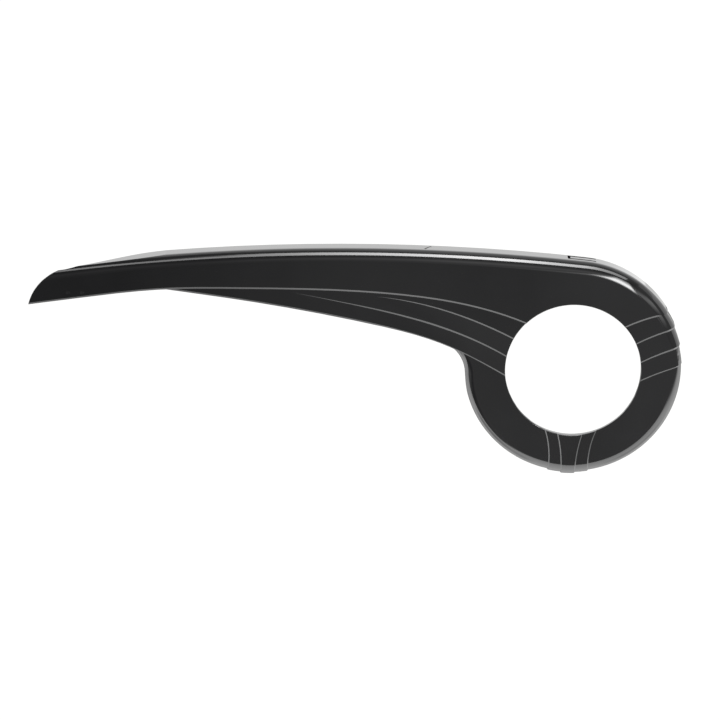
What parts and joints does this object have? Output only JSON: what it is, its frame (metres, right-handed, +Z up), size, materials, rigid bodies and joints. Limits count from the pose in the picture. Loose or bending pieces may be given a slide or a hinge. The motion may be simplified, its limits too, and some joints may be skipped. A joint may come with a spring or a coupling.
{
  "type": "bicycle chain guard",
  "caption": "Black moulded bicycle chain guard: a tapering blade over the upper chain run and a ring with a crank opening, folded-back rim and stepped feather lines.",
  "frame": {"origin": "on the crank axis, in the plane of the ring's outer face", "axes": "+X forward along the bicycle, +Z up, +Y inwards to the bicycle, so the outer face looks along -Y"},
  "size_m": [0.5222, 0.022, 0.1881],
  "materials": {
    "shell": "polished black moulded ABS"
  },
  "bodies": {
    "root": {"chain_guard": "shell"}
  },
  "joints": []
}
